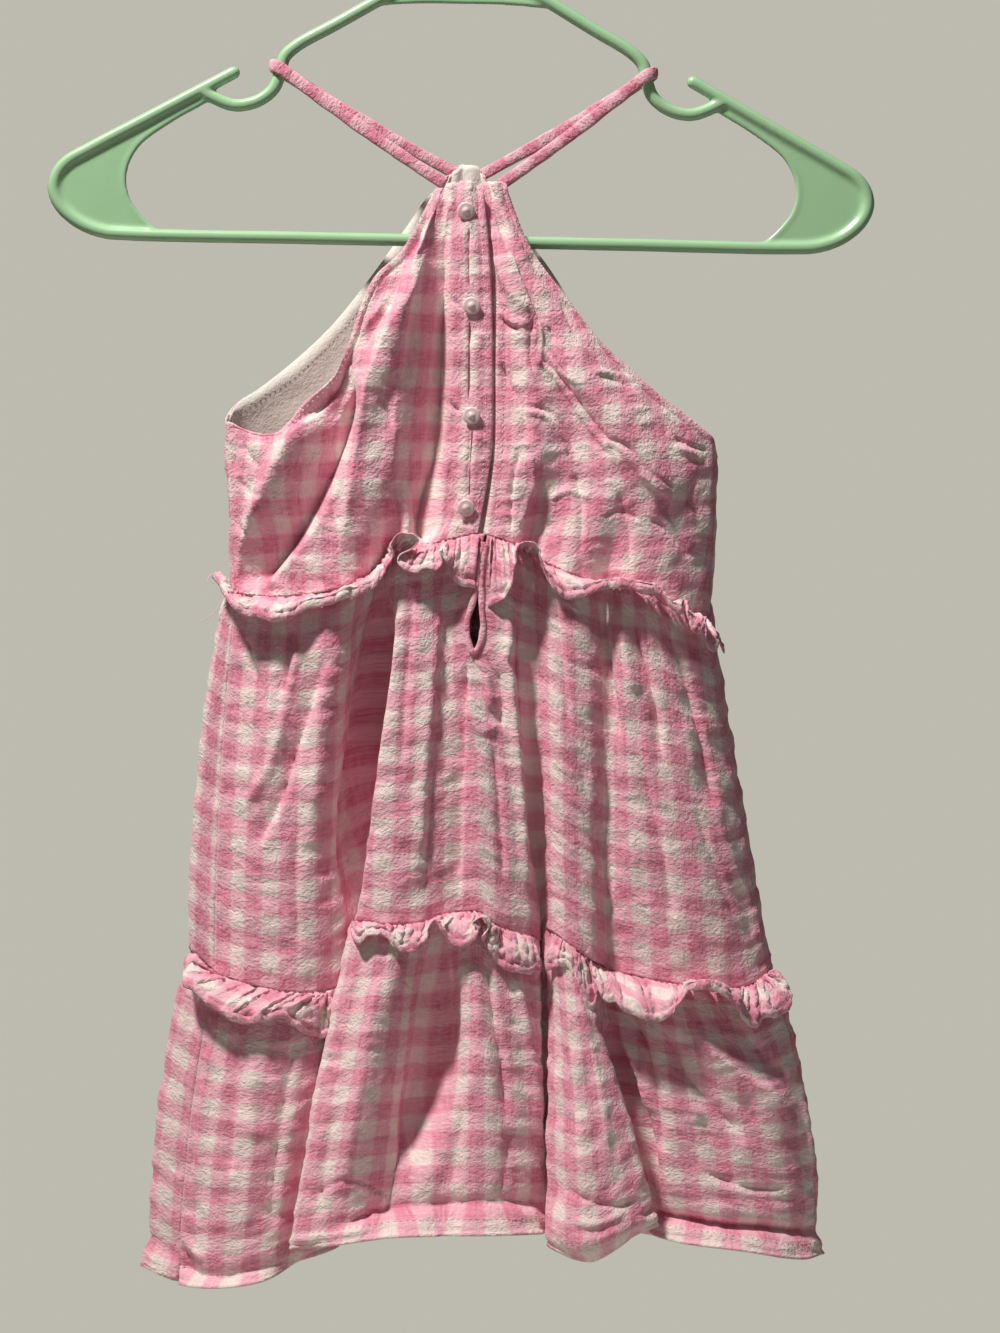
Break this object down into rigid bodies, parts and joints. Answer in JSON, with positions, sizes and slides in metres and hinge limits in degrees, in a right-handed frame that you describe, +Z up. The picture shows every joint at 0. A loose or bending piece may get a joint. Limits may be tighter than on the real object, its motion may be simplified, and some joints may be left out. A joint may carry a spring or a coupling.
{
  "type": "child's gingham sundress on a clothes hanger",
  "caption": "Child's tiered halter sundress in gingham cotton with ruffled seams and a buttoned opening, hung by its straps on a moulded plastic hanger.",
  "frame": {"origin": "inner crown of the hanger's hook, where it sits on a rail", "axes": "+Z up; +X to the right as the buttoned side is seen; -Y out of the buttoned side"},
  "size_m": [0.4131, 0.0886, 0.7538],
  "materials": {
    "gingham": "crinkled woven cotton in pink and white checks",
    "lining": "plain white cotton",
    "hanger_plastic": "glossy pale green moulded plastic",
    "button_plastic": "pearly translucent plastic"
  },
  "bodies": {
    "root": {"hanger": "hanger_plastic", "bodice_back_left": "gingham", "bodice_back_right": "gingham", "bodice_front": "gingham", "bodice_front_lining": "lining", "middle_tier_back": "gingham", "middle_tier_front": "gingham", "bottom_tier_back": "gingham", "bottom_tier_front": "gingham", "upper_ruffle_back_left": "gingham", "upper_ruffle_back_right": "gingham", "upper_ruffle_front": "gingham", "lower_ruffle_back_left": "gingham", "lower_ruffle_back_middle": "gingham", "lower_ruffle_back_right": "gingham", "lower_ruffle_front": "gingham", "opening_binding": "gingham", "strap_left": "gingham", "strap_right": "gingham", "button_1": "button_plastic", "button_2": "button_plastic", "button_3": "button_plastic", "button_4": "button_plastic"}
  },
  "joints": []
}
